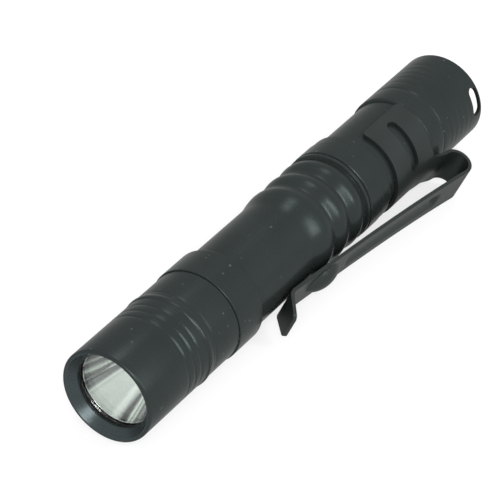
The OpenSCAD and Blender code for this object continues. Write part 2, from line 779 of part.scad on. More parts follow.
// A strip along the pressed stretch of the arm, moved out from the arm's middle
module press_strip(out, t) {
    span = press_shares[1] - press_shares[0];
    line = [for (i = [0:press_steps]) arm_at(press_shares[0] + span * i / press_steps) + [out, 0]];
    strip(strip_outline(line, t), press_w);
}

// Leaf shaped bump pressed out of the arm
module arm_bump() {
    at = arm_at(bump_share);
    translate([at.x, 0, at.y]) rotate([0, -slope_at(bump_share), 0]) intersection() {
        translate([sheet_t / 2 + bump_h - bump_arc_r, 0, 0]) rotate([90, 0, 0])
            cylinder(r = bump_arc_r, h = strip_w, center = true);
        rotate([0, 90, 0]) linear_extrude(sheet_t + bump_h) intersection_for (s = [-1, 1])
            translate([0, s * (bump_side_r - bump_w / 2)]) circle(r = bump_side_r);
    }
}

// Clip: second half of the bend, bowed arm with its pressed groove and bump, turned-up flap
module clip_arm() {
    reach = tip.x + bend_mid.x;
    line = concat(arc(bend_mid, bend_r, bend_split + flex_gap, 360 + arm_slope, bend_steps),
        [for (i = [1:arm_steps]) arm_at(i / arm_steps)], [tip + (tip - fold) * sheet_t / flap_len]);
    color("#3a403e") at_clip() {
        difference() {
            intersection() {
                strip(strip_outline(line, sheet_t), 2 * strip_w);
                rotate([0, 90, 0]) mirror([1, 0, 0]) linear_extrude(reach) arm_plan();
            }
            press_strip(sheet_t - press_depth, sheet_t);
        }
        press_strip(-press_depth, sheet_t - 2 * drop_gap);
        arm_bump();
    }
}

echo(contact_spring_gap = coil_gap(spring_r, spring_top_r, board_top + spring_wire_r, cell_base - spring_wire_r,
    spring_curls, spring_wire_r));
echo(switch_spring_gap = coil_gap(return_r, return_r, return_base, return_top, return_curls, return_wire_r));

head_shell();
lens_seal();
lens();
reflector();
led_ring();
led_package();
led_dome();
star_board();
pill();
lead_wires();
driver_board();
driver_parts();
driver_contact();
body_tube();
front_o_ring();
rear_o_ring();
cell_can();
cell_wrapper();
cell_core();
cell_seal();
cell_end_plate();
tail_cap();
boot_flange();
switch_boot();
boot_washer();
switch_plunger();
switch_spring();
switch_housing();
switch_board();
retaining_ring();
contact_spring();
clip_band();
clip_arm();
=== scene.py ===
"""Penlight: turned black body, sprung pocket clip, bright bowl behind a flat lens, rubber tail switch."""

import json
import math

import bmesh
import bpy
from mathutils import Matrix, Vector


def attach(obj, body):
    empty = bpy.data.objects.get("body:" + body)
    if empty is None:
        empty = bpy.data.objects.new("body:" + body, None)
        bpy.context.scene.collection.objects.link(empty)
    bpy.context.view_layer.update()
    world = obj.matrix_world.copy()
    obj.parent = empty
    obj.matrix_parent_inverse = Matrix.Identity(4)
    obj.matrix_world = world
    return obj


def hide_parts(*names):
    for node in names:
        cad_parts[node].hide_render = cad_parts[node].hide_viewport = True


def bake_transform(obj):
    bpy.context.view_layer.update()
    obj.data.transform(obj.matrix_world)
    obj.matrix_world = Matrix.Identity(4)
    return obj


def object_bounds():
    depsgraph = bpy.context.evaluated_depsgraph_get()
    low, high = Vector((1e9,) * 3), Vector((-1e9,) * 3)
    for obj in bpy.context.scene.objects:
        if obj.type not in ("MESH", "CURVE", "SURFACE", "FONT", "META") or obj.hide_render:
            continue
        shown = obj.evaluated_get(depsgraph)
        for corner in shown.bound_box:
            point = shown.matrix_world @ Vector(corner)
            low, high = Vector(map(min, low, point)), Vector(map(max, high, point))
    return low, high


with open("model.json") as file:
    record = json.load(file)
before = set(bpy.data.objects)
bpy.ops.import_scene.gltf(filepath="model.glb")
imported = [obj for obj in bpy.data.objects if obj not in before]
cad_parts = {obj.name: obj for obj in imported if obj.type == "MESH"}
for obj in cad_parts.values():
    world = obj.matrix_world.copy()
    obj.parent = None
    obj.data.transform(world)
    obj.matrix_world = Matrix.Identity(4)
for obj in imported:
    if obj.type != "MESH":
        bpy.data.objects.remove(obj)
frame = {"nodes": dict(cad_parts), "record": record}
cad_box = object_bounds()

# Measures are in millimetres: x along the light from its tail face, r away from its axis
MM = 0.001
MICRON = 0.000001
SIDES = 144
BEVEL = 0.15
SEAM_BEVEL = 0.08
SEAM_TAIL = 34.0
SEAM_HEAD = 70.0
FRONT = 92.0

# Softening of an outline's corners
EASE_METAL = 0.07
EASE_BOWL = 0.05
EASE_RUBBER = 0.25
EASE_STEPS = 4
EASE_FROM = math.radians(14)
EASE_SHARE = 0.36
EASE_HOLD = 1.18
SHARP = math.radians(40)

# Screw joints
THREAD_R = 6.2
THREAD_DEPTH = 0.2
THREAD_PITCH = 1.0
THREAD_TURNS = 3
FEMALE_R = 6.26
RELIEF_R = 6.31
SPIGOT = 5.4
RING_FROM_SEAM = 0.5
RING_W = 1.0
RING_ROOT_R = 5.8
RING_SEAT = 2.0
RING_GAP = 0.05
RING_CREST_GAP = 0.025
RING_SIDES = 28
THREAD_RUN = THREAD_TURNS * THREAD_PITCH

# Head
HEAD_R = 7.4
RIM_ROUND = 0.4
DISH_R = 6.85
DISH_FLOOR = 90.55
DISH_FADE = 0.3
DISH_BLUR = 0.2
WINDOW_R = 5.8
LENS_SEAT = 90.2
HEAD_GROOVES = (79.5, 81.05, 82.6)
REAR_GROOVE = 75.9
BEAD = (76.4, 77.25)
BEAD_H = 0.16
BEAD_EDGE = 1.2
BEAD_ROLL = 18
BEAD_FALL = 43
GROOVE_W = 0.9
GROOVE_DEPTH = 0.07
GROOVE_STEPS = 10

# Reflector bowl
BOWL_FRONT = 88.8
BOWL_BACK = 81.3
BOWL_HOLE_R = 2.6
BOWL_MOUTH_R = 5.76
BOWL_OUT_R = 6.26
BOWL_WALL = 0.8
BOWL_STEPS = 40

# Painted reflections in the bowl's colour: degrees from the side where the painted reflection is brightest,
# half width in degrees, how much brighter
BOWL_REFLECTION_TURN = math.radians(242)
BOWL_PAINTED_REFLECTIONS = ((-64, 11, -0.6), (-48, 7, 1.0), (-40, 5, -0.8), (-30, 7, 0.6),
              (23, 9, 0.3), (44, 10, 0.3), (102, 22, -0.8))

# Tube
TUBE_R = 6.95
CELL_BORE_R = 5.45
RIDGE_R = 7.45
RIDGE_H = 0.5
RIDGES = (4.2, 4.2, 4.788)
RIDGE_STEPS = 24
RIDGE_SOFT = 1.3
RIDGE_RUN_OUT = 4.0
LAND = 1.0
LAND_FLAT = 0.8
COLLAR_R = 7.6
COLLAR_ROUND = 0.4
COLLAR = 6.0
SEAM_SLIT = (0.12, 0.35)

# Tail
BARREL_R = 7.35
BARREL = 15.8
BARREL_ROUND = 0.2
SHOULDER_ROUND = 0.4
BARREL_GROOVE = 11.85
FINE_GROOVES = (3.65, 5.15, 6.65, 8.2, 9.75)
NECK_R = 6.95
NECK_FRONT = 28.3
STEP_R = 7.4
STEP_FRONT = 30.3
LAND_R = 7.5
LAND_RISE = 0.1
CUP_R = 6.8
CUP = 5.6
WEB_FRONT = 7.6
BOOT_HOLE_R = 4.75
BAY_R = 5.7
BAY_FRONT = 28.3
LANYARD = (0.45, 2.5)
LANYARD_TURN = math.radians(22)
LANYARD_SWEEP = math.radians(38)
LANYARD_OVER = 0.8
LANYARD_END_STEPS = 12
LANYARD_SIDE_STEPS = 8

# Rubber boot
BOOT_R = 4.5
BOOT_TOP = 1.0
BOOT_CROWN = 1.4
BOOT_IN_R = 3.6
BOOT_ROOF = 3.3
BOOT_NUB_R = 1.85
BOOT_NUB_END = 6.3
FLANGE_R = 5.65
FLANGE_FRONT = 8.6
BOOT_STEPS = 8
BOOT_CROWN_STEPS = 14

# Springs: radius and place of the rear end, of the front end, turns, radius of the wire
CONTACT_COIL = ((3.4, 20.2), (2.3, 30.4), 5, 0.35)
RETURN_COIL = ((1.3875, 11.53125), (1.3875, 15.71875), 4, 0.23125)
COIL_STEPS = 40
WIRE_SIDES = 14

# Clip, in its own plane: distance from the axis, place along the light
CLIP_TURN = math.radians(20)
SHEET = 0.55
BAND_MID_R = 7.275
BAND = (16.0, 26.3)
BAND_REACH = 108.0
BAND_CORNER = 0.7
BAND_CORNER_SHARES = (0.75, 0.5, 0.28, 0.12, 0.0)
BAND_END_STEPS = 4
BAND_ROWS = 7
WINDOW = (35.6, 87.0)
WINDOW_HALF = 1.1
WINDOW_END = 9.0
WINDOW_END_PLACES = (0, 0.25, 0.7, 1.5, 2.8, 4.6, 6.7, WINDOW_END)
WINDOW_STEPS = 16
LEG_FOOT = (7.325, 19.7)
LEG_SLOPE = math.radians(5)
LEG_STEPS = 6
LIFT_ROOM = 1.5
LIFT_RUN = 3.0
LIFT_FADE = (26, 42)
LIFT_REACH = 60
BEND_MID = (10.085, 13.2667)
BEND_R = 2.19
BEND_STEPS = 24
ARM_SLOPE = math.radians(9.1)
ARM_ROOT = (12.247, 13.613)
ARM_BOW = (9.815, 28.793)
ARM_FOLD = (7.4, 56.967)
ARM_TIP = (10.5, 60.149)
ARM_STEPS = 190
STRIP_HALF = 3.2
STRIP_PLACES = (0.15, 0.3, 0.42, 0.54, 0.66, 0.8, 1.0, 1.25, 1.5, 1.75, 1.95, 2.15, 2.4, 2.7, 3.0, STRIP_HALF)
FOLD_HALF = 2.95
FLAP_HALF = 2.4
FLAP_CORNER = 0.7
FLAP_CORNER_SHARES = (0.75, 0.5, 0.3, 0.14, 0.05, 0.0)
FOLD_EASE = 0.7
FOLD_STEPS = 8
FLAP_STEPS = 10
TROUGH_RUN = (0.19, 0.7)
TROUGH_HALF = 1.85
TROUGH_DEPTH = 0.42
TROUGH_END = 1.1
TROUGH_SOFT = 1.1
DIMPLE_AT = 0.197
DIMPLE_R = 0.9
DIMPLE_DEPTH = 0.22
BUMP_AT = 0.835
BUMP_HALF_LEN = 3.5
BUMP_HALF_W = 2.1
BUMP_H = 1.3
BUMP_SOFT = 0.6
CLIP_EDGE = 0.1
CLIP_EDGE_STEPS = 3
CLIP_EDGE_FROM = math.radians(50)

# Bend of the clip that springs: rise along the light for each millimetre outwards
SPRING_RISE = 0.1118

# Reflection left at a grazing angle by a matt black skin
DULL_EDGE = (0.8, 0.8, 0.8)

# The photograph's view, in metres: the camera's own axes, its place and its lens in millimetres
VIEW_RIGHT = (-0.5448813, 0.8355154, 0.0708356)
VIEW_UP = (-0.4849443, -0.3829161, 0.7862593)
VIEW_BACK = (0.6840566, 0.394067, 0.6138224)
VIEW_PLACE = (0.3231353, 0.1536493, 0.2429247)
VIEW_LENS = 194.4
VIEW_SENSOR = 36
VIEW_NEAR = 0.01

# Soft lamps, in metres: place, point faced, width and height, watts
MID_TUBE = (0.045, 0, 0)
HEAD_REAR = (0.08, 0, 0)
LAMPS = {
    "lamp_key": ((-0.32, 0.91, 0.70), MID_TUBE, (0.2, 0.8), 6.0),
    "lamp_over": ((-0.46, -0.25, 1.06), MID_TUBE, (0.3, 0.3), 1.3),
    "lamp_front": ((0.43, 0.22, 0.34), HEAD_REAR, (0.2, 0.2), 1.8),
}
WHITE = (1.0, 1.0, 1.0)
FLOOR_PALE = (0.9, 0.9, 0.9)
FLOOR_HALF = 1.5
FLOOR_GLOW = 0.72


class Shade:
    """One value in a material: a node's socket, with arithmetic that adds Math nodes."""

    def __init__(self, finish, socket):
        self.finish = finish
        self.socket = socket

    def math(self, operation, *values):
        return self.finish.node("ShaderNodeMath", {"operation": operation}, dict(enumerate(values)))

    def __add__(self, other):
        return self.math("ADD", self, other)

    __radd__ = __add__

    def __mul__(self, other):
        return self.math("MULTIPLY", self, other)

    __rmul__ = __mul__

    def __sub__(self, other):
        return self.math("SUBTRACT", self, other)

    def __rsub__(self, other):
        return self.math("SUBTRACT", other, self)

    def out(self, name):
        return Shade(self.finish, self.socket.node.outputs[name])


class Finish:
    """A node tree being written: a material's, or the world's."""

    def __init__(self, name, owner=None):
        self.owner = owner or bpy.data.materials.new(name)
        self.owner.use_nodes = True
        self.tree = self.owner.node_tree
        self.tree.nodes.clear()

    def node(self, kind, settings, sockets, output=0):
        made = self.tree.nodes.new(kind)
        for key, value in settings.items():
            setattr(made, key, value)
        for key, value in sockets.items():
            socket = made.inputs[key]
            if isinstance(value, Shade):
                self.tree.links.new(value.socket, socket)
            elif socket.type == "RGBA" and len(value) == 3:
                socket.default_value = (*value, 1)
            else:
                socket.default_value = value
        return Shade(self, made.outputs[output])

    def place(self):
        return self.node("ShaderNodeTexCoord", {}, {}, "Object")

    def noise(self, per_metre, detail=2.0):
        across = per_metre if isinstance(per_metre, tuple) else (per_metre,) * 3
        scaled = self.node("ShaderNodeVectorMath", {"operation": "MULTIPLY"}, {0: self.place(), 1: across})
        return self.node("ShaderNodeTexNoise", {}, {"Vector": scaled, "Scale": 1.0, "Detail": detail})

    def tint(self, share, low, high):
        return self.node("ShaderNodeMix", {"data_type": "RGBA"}, {0: share, 6: low, 7: high}, 2)

    def ramp(self, value, low, high):
        return self.node("ShaderNodeMapRange", {"interpolation_type": "SMOOTHSTEP"},
                         {"Value": value, "From Min": low, "From Max": high})

    def relief(self, height, depth):
        return self.node("ShaderNodeBump", {}, {"Strength": 1.0, "Distance": depth, "Height": height})

    def principled(self, **sockets):
        named = {key.replace("_", " ").title().replace("Ior", "IOR"): value for key, value in sockets.items()}
        return self.node("ShaderNodeBsdfPrincipled", {}, named)

    def show(self, shader, output="ShaderNodeOutputMaterial"):
        end = self.tree.nodes.new(output)
        self.tree.links.new(shader.socket, end.inputs["Surface"])
        return self.owner


def satin_anodised():
    """Black anodising over turned aluminium: close turning lines, a fine grain, a few pale specks, and the
    dish inside the rim painted lighter, a painted light standing in for light from the front.
    """
    f = Finish("satin_anodised")
    lines = f.noise((5200, 55, 55), 1.0)
    grain = f.noise(4200, 3.0)
    cloud = f.noise(150, 2.0)
    specks = f.ramp(f.noise(1700, 0.0), 0.82, 0.9)
    dyed = f.tint(cloud, (0.0245, 0.0308, 0.0294), (0.032, 0.039, 0.0376))
    place = f.node("ShaderNodeSeparateXYZ", {}, {0: f.place()})
    across = place.out("Y") * place.out("Y") + place.out("Z") * place.out("Z")
    # Painted light: the front-facing dish inside the rim is painted a lighter grey, standing in for light
    # from the front falling on it.
    inner = 1 - f.ramp(across, (DISH_R * MM) ** 2, ((DISH_R + DISH_BLUR) * MM) ** 2)
    painted_light_dish_mask = inner * f.ramp(place, (DISH_FLOOR - DISH_FADE) * MM, DISH_FLOOR * MM)
    dish_painted_light = f.tint(painted_light_dish_mask, dyed, (0.046, 0.056, 0.058))
    colour = f.tint(specks, dish_painted_light, (0.09, 0.11, 0.13))
    rough = 0.2 + lines * 0.07 + grain * 0.06
    height = lines * 0.7 + grain * 0.3
    return f.show(f.principled(base_color=colour, roughness=rough, metallic=0.55, specular_tint=DULL_EDGE,
                               specular_ior_level=0.0, normal=f.relief(height, 12 * MICRON)))


def coated_steel():
    """Black coating on spring steel: smoother than the body, with faint rolling marks along the strip."""
    f = Finish("coated_steel")
    marks = f.noise((160, 2600, 2600), 2.0)
    grain = f.noise(5200, 2.0)
    cloud = f.noise(220, 2.0)
    colour = f.tint(cloud, (0.028, 0.034, 0.0325), (0.038, 0.0445, 0.043))
    rough = 0.3 + marks * 0.1 + grain * 0.07
    height = marks * 0.5 + grain * 0.5
    return f.show(f.principled(base_color=colour, roughness=rough, metallic=0.6, specular_tint=DULL_EDGE,
                               specular_ior_level=0.0, normal=f.relief(height, 8 * MICRON)))


def rubber(name, dark, light, rough):
    """Moulded rubber: soft cloudy black with a fine pebbled skin."""
    f = Finish(name)
    pebble = f.noise(3800, 1.0)
    cloud = f.noise(420, 2.0)
    return f.show(f.principled(base_color=f.tint(cloud, dark, light), roughness=rough + pebble * 0.14,
                               specular_ior_level=0.3, normal=f.relief(pebble, 30 * MICRON)))


def clear_glass():
    """Flat polished lens: clear and faintly green, with a slight wiped haze."""
    f = Finish("clear_glass")
    haze = f.ramp(f.noise((300, 900, 300), 3.0), 0.45, 0.8)
    tinted = f.tint(haze, (0.95, 0.985, 0.97), (0.92, 0.96, 0.95))
    return f.show(f.principled(base_color=tinted, roughness=haze * 0.03, transmission_weight=1.0, ior=1.5))


def bright_bowl():
    """Metallised bowl: silver white, its colour painted with reflections: broad light and dark bands round it
    and fine streaks from its mouth to its hole, which also vary its roughness.
    """
    f = Finish("bright_bowl")
    place = f.node("ShaderNodeSeparateXYZ", {}, {0: f.place()})
    y, z = place.out("Y"), place.out("Z")
    c, s = math.cos(BOWL_REFLECTION_TURN), math.sin(BOWL_REFLECTION_TURN)
    turn = place.math("ARCTAN2", z * c - y * s, y * c + z * s)
    angle = turn * math.degrees(1)
    around = f.node("ShaderNodeCombineXYZ", {}, {0: turn * 2.2, 1: place.out("X") * 25.0})
    fine = f.node("ShaderNodeTexNoise", {}, {"Vector": around, "Scale": 9.0, "Detail": 1.0})
    # Painted reflection: the bands and fine streaks in the colour, down to its darker grey, stand in for
    # lights and dark surroundings mirrored in the bowl.
    share = 0.7 + fine * 0.1
    for middle, half, height in BOWL_PAINTED_REFLECTIONS:
        rise = f.ramp(angle, middle - half, middle)
        fall = f.ramp(angle, middle, middle + half)
        share = share + height * rise * (1 - fall)
    colour = f.tint(share, (0.15, 0.16, 0.165), (0.96, 0.985, 0.95))
    return f.show(f.principled(base_color=colour, metallic=1.0, roughness=0.08 + fine * 0.05))


def moulded(name, colour, rough):
    """Moulded plastic or ceramic: a slight unevenness of colour and a fine matt skin."""
    f = Finish(name)
    cloud = f.noise(500, 2.0)
    skin = f.noise(5200, 2.0)
    dark = tuple(0.86 * c for c in colour)
    return f.show(f.principled(base_color=f.tint(cloud, dark, colour), roughness=rough + skin * 0.15,
                               normal=f.relief(skin, 10 * MICRON)))


def turned_metal(name, colour, rough, per_metre=(4200, 70, 70)):
    """Bare metal from the lathe or the press: fine lines and a little dulling."""
    f = Finish(name)
    lines = f.noise(per_metre, 2.0)
    dull = f.noise(340, 3.0)
    dark = tuple(0.72 * c for c in colour)
    return f.show(f.principled(base_color=f.tint(dull, dark, colour), metallic=1.0,
                               roughness=rough + lines * 0.16, normal=f.relief(lines, 10 * MICRON)))


def glass_fibre_board():
    """Green circuit board: woven fibre under a glossy mask."""
    f = Finish("glass_fibre_board")
    place = f.node("ShaderNodeSeparateXYZ", {}, {0: f.place()})
    warp = place.math("SINE", place.out("Y") * 9000.0)
    weft = place.math("SINE", place.out("Z") * 9000.0)
    weave = warp * weft
    colour = f.tint(0.5 + weave * 0.5, (0.025, 0.13, 0.05), (0.045, 0.2, 0.08))
    return f.show(f.principled(base_color=colour, roughness=0.36 + f.noise(900) * 0.12,
                               normal=f.relief(weave, 12 * MICRON)))


def phosphor_dome():
    """Clear silicone over yellow phosphor, deeper in colour over its middle."""
    f = Finish("phosphor_dome")
    place = f.node("ShaderNodeSeparateXYZ", {}, {0: f.place()})
    across = place.out("Y") * place.out("Y") + place.out("Z") * place.out("Z")
    share = f.ramp(across * 1000000.0 + f.noise(2600) * 0.4, 0.2, 1.6)
    colour = f.tint(share, (0.86, 0.62, 0.1), (0.93, 0.85, 0.5))
    return f.show(f.principled(base_color=colour, roughness=0.12 + f.noise(1800) * 0.06, coat_weight=0.6))


def eased(outline, ease):
    """The closed outline with its corners rounded off, and a point held close to either end of each."""
    soft = []
    for i, (r, x) in enumerate(outline):
        here = Vector((r, x))
        back = Vector(outline[i - 1]) - here
        ahead = Vector(outline[(i + 1) % len(outline)]) - here
        turn = math.pi - back.angle(ahead)
        if turn < EASE_FROM:
            soft.append(here)
            continue
        cut = min(ease, EASE_SHARE * back.length, EASE_SHARE * ahead.length)
        held = cut * EASE_HOLD
        a = here + back.normalized() * cut
        b = here + ahead.normalized() * cut
        soft.append(here + back.normalized() * held)
        for k in range(EASE_STEPS + 1):
            u = k / EASE_STEPS
            soft.append((1 - u) ** 2 * a + 2 * u * (1 - u) * here + u ** 2 * b)
        soft.append(here + ahead.normalized() * held)
    return soft


def named(mesh, name, finish):
    """Puts a finished mesh in the scene."""
    for face in mesh.polygons:
        face.use_smooth = True
    mesh.set_sharp_from_angle(angle=SHARP)
    mesh.materials.clear()
    mesh.materials.append(finish)
    piece = bpy.data.objects.new(name, mesh)
    bpy.context.scene.collection.objects.link(piece)
    return piece


def dressed(piece, body, slot, *nodes):
    """The piece moves with a body and stands for those solids, which are hidden; the slot is not used."""
    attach(piece, body)
    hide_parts(*nodes)


def shape(name, points, faces):
    """A mesh from points in millimetres, with doubled points joined and faces turned outwards."""
    mesh = bpy.data.meshes.new(name)
    mesh.from_pydata([tuple(MM * c for c in p) for p in points], [], faces)
    work = bmesh.new()
    work.from_mesh(mesh)
    bmesh.ops.remove_doubles(work, verts=work.verts, dist=1e-7)
    bmesh.ops.dissolve_degenerate(work, edges=work.edges, dist=1e-8)
    bmesh.ops.recalc_face_normals(work, faces=work.faces)
    work.to_mesh(mesh)
    work.free()
    return mesh


def turned(name, outline):
    """Turns a closed outline of (r, x) points round the light's axis."""
    points = []
    for r, x in outline:
        for j in range(SIDES):
            a = 2 * math.pi * j / SIDES
            points.append((x, r * math.cos(a), r * math.sin(a)))
    rows = len(outline)
    faces = []
    for i in range(rows):
        n = (i + 1) % rows
        for j in range(SIDES):
            k = (j + 1) % SIDES
            faces.append((i * SIDES + j, i * SIDES + k, n * SIDES + k, n * SIDES + j))
    return shape(name, points, faces)


def rounding(r, x, radius, start, end, steps=6):
    """Points of a rounded edge about (r, x), from one angle to another."""
    angles = [math.radians(start + (end - start) * i / steps) for i in range(steps + 1)]
    return [(r + radius * math.cos(a), x + radius * math.sin(a)) for a in angles]


def groove(r, at, depth=GROOVE_DEPTH):
    """Points of a shallow rounded groove met on the way to the front."""
    points = []
    for i in range(GROOVE_STEPS + 1):
        u = 2 * i / GROOVE_STEPS - 1
        points.append((r - depth * (1 + math.cos(math.pi * u)) / 2, at + u * GROOVE_W / 2))
    return points


def ridge(start, length, run_out=0):
    """Points of one of the tube's ridges met on the way to the front; the last may run out slowly."""
    points = []
    for i in range(RIDGE_STEPS + 1):
        u = i / RIDGE_STEPS
        rise, x = math.sin(math.pi * u) ** RIDGE_SOFT, start + u * length
        if run_out and u > 0.5:
            rise, x = (1 - math.cos(2 * math.pi * u)) / 2, start + length / 2 + (2 * u - 1) * run_out
        points.append((TUBE_R + RIDGE_H * rise, x))
    return points


def bead():
    """Points of the head's bead met on the way to the front: a slow rise and a steep rounded fall."""
    rear, crest = BEAD
    points = []
    for i in range(GROOVE_STEPS):
        u = i / GROOVE_STEPS
        points.append((HEAD_R + BEAD_H * (1 - math.cos(math.pi * u)) / 2, rear + u * (crest - rear)))
    points += rounding(HEAD_R + BEAD_H - BEAD_EDGE, crest, BEAD_EDGE, 0, BEAD_ROLL)
    r, x = points[-1]
    return points + [(HEAD_R, x + (r - HEAD_R) / math.tan(math.radians(BEAD_FALL)))]


def thread(r, depth, start):
    """Points of a thread's turns met on the way to the front."""
    points = []
    for i in range(THREAD_TURNS):
        points += [(r, start + i * THREAD_PITCH), (r + depth, start + (i + 0.5) * THREAD_PITCH)]
    return points


def head_outline():
    """The head, from its rear edge over the outside to the front and back through the bore."""
    outside = [(HEAD_R - SEAM_BEVEL, SEAM_HEAD), (HEAD_R, SEAM_HEAD + SEAM_BEVEL)]
    outside += groove(HEAD_R, REAR_GROOVE, GROOVE_DEPTH / 2)
    outside += bead()
    for at in HEAD_GROOVES:
        outside += groove(HEAD_R, at)
    outside += rounding(HEAD_R - RIM_ROUND, FRONT - RIM_ROUND, RIM_ROUND, 0, 90)
    thread_front = SEAM_HEAD + RING_SEAT + THREAD_RUN
    inside = [(DISH_R, FRONT), (WINDOW_R, DISH_FLOOR), (WINDOW_R, LENS_SEAT), (RELIEF_R, LENS_SEAT)]
    inside += [(RELIEF_R, thread_front)]
    inside += thread(FEMALE_R, THREAD_DEPTH, SEAM_HEAD + RING_SEAT)[::-1]
    inside += [(RELIEF_R, SEAM_HEAD + RING_SEAT), (RELIEF_R, SEAM_HEAD)]
    return outside + inside


def spigot_outline():
    """The rear spigot of the tube, from its end to the seam."""
    base = SEAM_TAIL - SPIGOT
    root = THREAD_R - THREAD_DEPTH
    groove_rear = SEAM_TAIL - RING_FROM_SEAM - RING_W
    groove_front = SEAM_TAIL - RING_FROM_SEAM
    points = [(CELL_BORE_R, base), (root, base)]
    points += thread(root, THREAD_DEPTH, base + BEVEL)
    points += [(root, base + BEVEL + THREAD_RUN), (THREAD_R, base + 2 * BEVEL + THREAD_RUN)]
    points += [(THREAD_R, groove_rear), (RING_ROOT_R, groove_rear), (RING_ROOT_R, groove_front)]
    points += [(THREAD_R, groove_front), (THREAD_R, SEAM_TAIL)]
    return points


def tube_outline():
    """The tube with both spigots, its ridges and its front collar."""
    rear = spigot_outline()
    front = [(r, SEAM_HEAD + SEAM_TAIL - x) for r, x in rear[::-1]]
    slit, depth = SEAM_SLIT
    lip = SEAM_TAIL + slit
    middle = [(RIDGE_R - depth, SEAM_TAIL), (RIDGE_R - depth, lip), (RIDGE_R - BEVEL, lip)]
    middle += [(RIDGE_R, lip + BEVEL), (RIDGE_R, SEAM_TAIL + LAND * LAND_FLAT)]
    at = SEAM_TAIL + LAND
    for i, length in enumerate(RIDGES):
        middle += ridge(at, length, RIDGE_RUN_OUT if i == len(RIDGES) - 1 else 0)[(1 if i else 0):]
        at += length
    collar_rear = SEAM_HEAD - COLLAR
    middle += [(TUBE_R, collar_rear)]
    middle += rounding(COLLAR_R - COLLAR_ROUND, collar_rear + COLLAR_ROUND, COLLAR_ROUND, -90, 0)
    middle += [(COLLAR_R, SEAM_HEAD - SEAM_BEVEL), (COLLAR_R - SEAM_BEVEL, SEAM_HEAD)]
    return rear + middle + front


def tail_outline():
    """The tail cap, from its open end over the barrel, neck and land to the seam and back inside."""
    outside = rounding(BARREL_R - BARREL_ROUND, BARREL_ROUND, BARREL_ROUND, -90, 0)
    for at in FINE_GROOVES:
        outside += groove(BARREL_R, at, GROOVE_DEPTH / 3)
    outside += groove(BARREL_R, BARREL_GROOVE)
    outside += rounding(BARREL_R - SHOULDER_ROUND, BARREL - SHOULDER_ROUND, SHOULDER_ROUND, 0, 80)
    outside += [(NECK_R, BARREL), (NECK_R, NECK_FRONT), (STEP_R - BEVEL, NECK_FRONT)]
    outside += [(STEP_R, NECK_FRONT + BEVEL), (STEP_R, STEP_FRONT)]
    outside += [ (LAND_R, STEP_FRONT + LAND_RISE), (LAND_R, SEAM_TAIL - BEVEL)]
    outside += [(LAND_R - BEVEL, SEAM_TAIL)]
    thread_front = SEAM_TAIL - RING_SEAT
    inside = [(RELIEF_R, SEAM_TAIL), (RELIEF_R, thread_front)]
    inside += thread(FEMALE_R, THREAD_DEPTH, thread_front - THREAD_RUN)[::-1]
    inside += [(RELIEF_R, thread_front - THREAD_RUN), (RELIEF_R, BAY_FRONT)]
    inside += [(BAY_R, BAY_FRONT), (BAY_R, WEB_FRONT), (BOOT_HOLE_R, WEB_FRONT), (BOOT_HOLE_R, CUP)]
    inside += [(CUP_R, CUP), (CUP_R, BEVEL), (CUP_R + BEVEL, 0)]
    return outside + inside


def bowl_outline():
    """The reflector: a deep round bowl in a thin shell with a wide mouth."""
    bowl = []
    for i in range(BOWL_STEPS + 1):
        u = i / BOWL_STEPS
        r = math.sqrt(BOWL_HOLE_R ** 2 + (BOWL_MOUTH_R ** 2 - BOWL_HOLE_R ** 2) * (1 - u))
        bowl.append((r, BOWL_FRONT + (BOWL_BACK - BOWL_FRONT) * u))
    rim = (BOWL_OUT_R - BOWL_MOUTH_R) / 2
    middle = (BOWL_FRONT + BOWL_BACK) / 2
    outside = [(BOWL_HOLE_R + BOWL_WALL, BOWL_BACK), (BOWL_OUT_R, middle), (BOWL_OUT_R, BOWL_FRONT - rim)]
    return outside + [(BOWL_OUT_R - rim, BOWL_FRONT)] + bowl


def boot_outline():
    """The switch boot: crowned cap, straight side, clamped flange and the nub that meets the plunger."""
    crown_r = (BOOT_R ** 2 + BOOT_CROWN ** 2) / (2 * BOOT_CROWN)
    half = math.degrees(math.asin(BOOT_R / crown_r))
    crown = rounding(0, BOOT_TOP + crown_r, crown_r, -90, -90 + half, BOOT_CROWN_STEPS)
    rim = BOOT_TOP + BOOT_CROWN
    steps = [i / BOOT_STEPS for i in range(1, BOOT_STEPS)]
    side = [(BOOT_R, rim + (WEB_FRONT - rim) * u) for u in steps]
    flange = [(BOOT_R, WEB_FRONT), (FLANGE_R, WEB_FRONT), (FLANGE_R, FLANGE_FRONT)]
    flange += [(BOOT_IN_R, FLANGE_FRONT)]
    bore = [(BOOT_IN_R, FLANGE_FRONT + (BOOT_ROOF - FLANGE_FRONT) * u) for u in steps]
    inside = [(BOOT_IN_R, BOOT_ROOF), (BOOT_NUB_R, BOOT_ROOF)]
    inside += [(BOOT_NUB_R, BOOT_NUB_END), (0, BOOT_NUB_END)]
    return crown + side + flange + bore + inside


def seal_ring_outline(rear):
    """A sealing ring, a little squeezed by its groove."""
    root, crest = RING_ROOT_R + RING_GAP, RELIEF_R - RING_CREST_GAP
    mid_r, half_r = (root + crest) / 2, (crest - root) / 2
    mid_x, half_x = rear + RING_W / 2, RING_W / 2 - RING_GAP
    points = []
    for i in range(RING_SIDES):
        a = 2 * math.pi * i / RING_SIDES
        c, s = math.cos(a), math.sin(a)
        flat = (c ** 4 + s ** 4) ** -0.25
        points.append((mid_r + half_r * c * flat, mid_x + half_x * s * flat))
    return points


